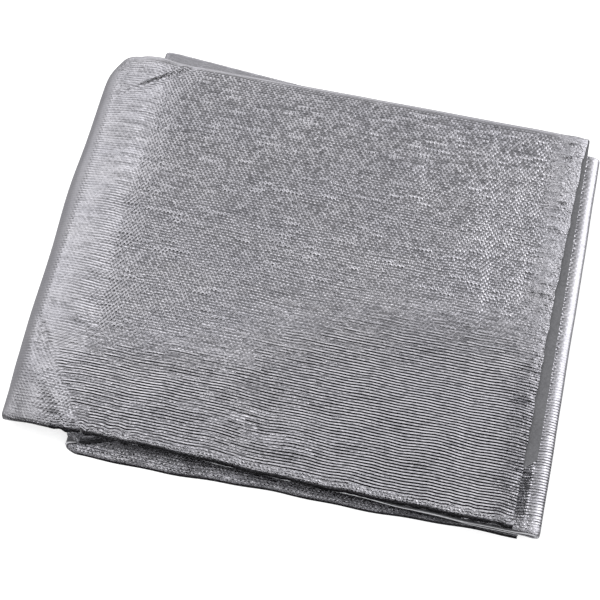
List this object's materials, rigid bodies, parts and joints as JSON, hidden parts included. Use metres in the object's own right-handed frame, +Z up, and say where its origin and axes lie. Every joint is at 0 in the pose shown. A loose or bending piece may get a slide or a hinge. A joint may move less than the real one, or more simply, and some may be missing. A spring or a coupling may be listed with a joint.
{
  "type": "folding foam sleeping pad",
  "caption": "Aluminised foam sleeping pad folded concertina fashion into a flat rectangular packet; its hinged panels open out into one long thin mat.",
  "frame": {"origin": "centre of the folded packet's footprint, on the surface it rests on", "axes": "+X along the packet's long side, across the creases; +Y towards the folded back edge, the front cut edges being at -Y; +Z up through the stack of panels"},
  "size_m": [0.304, 0.25, 0.0189],
  "materials": {
    "film": "satin, ribbed",
    "scrim": "woven tape",
    "foam": "closed-cell foam"
  },
  "bodies": {
    "panel_3": {"panel_3_film": "film", "panel_3_scrim": "scrim", "panel_3_foam": "foam"},
    "panel_4": {"panel_4_film": "film", "panel_4_scrim": "scrim", "panel_4_foam": "foam"},
    "panel_5": {"panel_5_film": "film", "panel_5_scrim": "scrim", "panel_5_foam": "foam"},
    "panel_6": {"panel_6_film": "film", "panel_6_scrim": "scrim", "panel_6_foam": "foam"},
    "panel_2": {"panel_2_film": "film", "panel_2_scrim": "scrim", "panel_2_foam": "foam"},
    "panel_1": {"panel_1_film": "film", "panel_1_scrim": "scrim", "panel_1_foam": "foam"}
  },
  "joints": [
    {"name": "crease_3_left", "type": "hinge", "parent": "panel_3", "child": "panel_4", "pos_m": [-0.141, 0, 0.00945], "axis": [0, -1, 0], "range_deg": [0, 179.5]},
    {"name": "crease_4_right", "type": "hinge", "parent": "panel_4", "child": "panel_5", "pos_m": [0.152, 0, 0.01265], "axis": [0, 1, 0], "range_deg": [0, 179.5]},
    {"name": "crease_5_left", "type": "hinge", "parent": "panel_5", "child": "panel_6", "pos_m": [-0.152, 0, 0.01585], "axis": [0, -1, 0], "range_deg": [0, 179.5]},
    {"name": "crease_2_right", "type": "hinge", "parent": "panel_3", "child": "panel_2", "pos_m": [0.149, 0, 0.00625], "axis": [0, -1, 0], "range_deg": [0, 179.5]},
    {"name": "crease_1_left", "type": "hinge", "parent": "panel_2", "child": "panel_1", "pos_m": [-0.122, 0, 0.00305], "axis": [0, 1, 0], "range_deg": [0, 179.5]}
  ]
}
